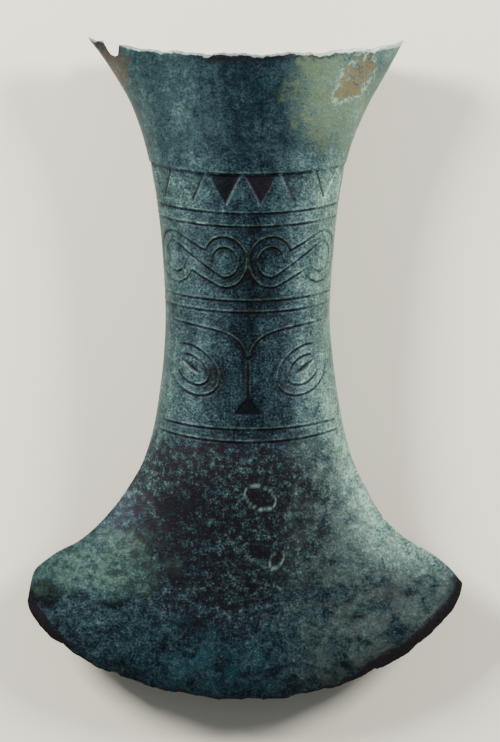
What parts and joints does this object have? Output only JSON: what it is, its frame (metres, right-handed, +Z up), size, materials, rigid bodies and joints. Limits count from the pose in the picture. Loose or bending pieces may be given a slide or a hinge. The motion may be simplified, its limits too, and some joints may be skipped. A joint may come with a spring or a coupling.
{
  "type": "axe head",
  "caption": "Hollow cast bronze axe head with a flaring socket, a waisted neck with raised ornament and a crescent blade, lying on its back.",
  "frame": {"origin": "middle of the underside as the axe head lies on its back on a surface", "axes": "+Y along the axe head from the cutting edge to the socket's mouth, +X across it, +Z up out of the ornamented face"},
  "size_m": [0.2172, 0.3318, 0.0631],
  "materials": {
    "patinated_bronze": "matt green to blue-black patina on cast bronze, with rust-orange and pale mint patches"
  },
  "bodies": {
    "root": {"axe_head": "patinated_bronze"}
  },
  "joints": []
}
